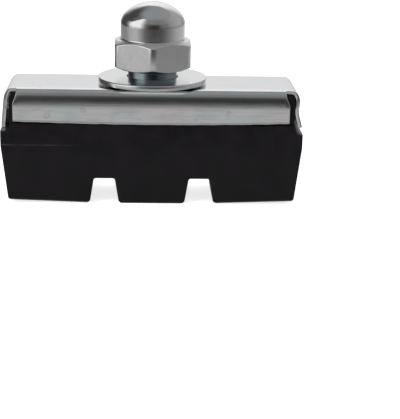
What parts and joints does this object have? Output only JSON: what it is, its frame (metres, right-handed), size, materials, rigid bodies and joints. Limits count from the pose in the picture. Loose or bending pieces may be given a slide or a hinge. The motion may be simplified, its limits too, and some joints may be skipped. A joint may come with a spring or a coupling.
{
  "type": "bicycle rim brake pad",
  "caption": "Grooved black rubber brake block in a folded steel shoe, with a threaded stud, a flat washer and a domed hexagon nut.",
  "frame": {"origin": "middle of the braking face, on the plane of the middle land, under the stud's axis", "axes": "+X along the block's length, +Y across its width, +Z along the stud, away from the rim"},
  "size_m": [0.0396, 0.0144, 0.0263],
  "materials": {
    "black_rubber": "matt moulded rubber with a dusty braking face",
    "zinc_sheet": "bright zinc plating with fine rolling lines",
    "stud_steel": "turned steel, zinc plated",
    "washer_steel": "bright zinc plating",
    "polished_nut": "polished cap and satin flats"
  },
  "bodies": {
    "root": {"rubber_block": "black_rubber", "shoe_holder": "zinc_sheet", "stud": "stud_steel", "flat_washer": "washer_steel", "dome_nut": "polished_nut"}
  },
  "joints": []
}
